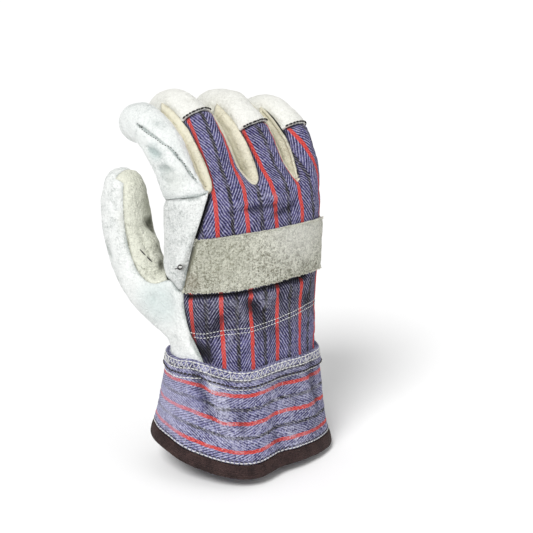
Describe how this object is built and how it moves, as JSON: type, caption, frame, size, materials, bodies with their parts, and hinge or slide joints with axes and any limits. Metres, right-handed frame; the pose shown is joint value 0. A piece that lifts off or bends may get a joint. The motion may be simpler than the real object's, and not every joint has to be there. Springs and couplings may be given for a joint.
{
  "type": "right-hand rigger glove",
  "caption": "Worn right-hand work glove: suede palm, index finger and thumb, striped drill back with a leather knuckle strap, and a flared striped safety cuff with a dark bound hem",
  "frame": {"origin": "middle of the cuff's mouth, where the glove sits on the arm that holds it up", "axes": "+Z from the cuff's mouth to the fingers, -Y out of the back of the hand, +Y out of the palm, thumb on the -X side"},
  "size_m": [0.136, 0.1099, 0.2346],
  "materials": {
    "suede": "napped split leather",
    "cream_leather": "napped split leather, yellower",
    "strap_suede": "coarse napped split leather",
    "drill": "herringbone cotton drill with woven stripes",
    "binding": "folded dark tape"
  },
  "bodies": {
    "root": {"back_cloth": "drill", "palm_leather": "suede", "index_leather": "suede", "index_middle_strip": "cream_leather", "middle_ring_strip": "cream_leather", "ring_little_strip": "cream_leather", "middle_cap": "suede", "ring_cap": "suede", "little_cap": "suede", "thumb_inner": "suede", "thumb_outer": "suede", "knuckle_strap": "strap_suede", "palm_patch": "suede", "cuff_cloth": "drill", "cuff_welt": "drill", "cuff_binding": "binding"}
  },
  "joints": []
}
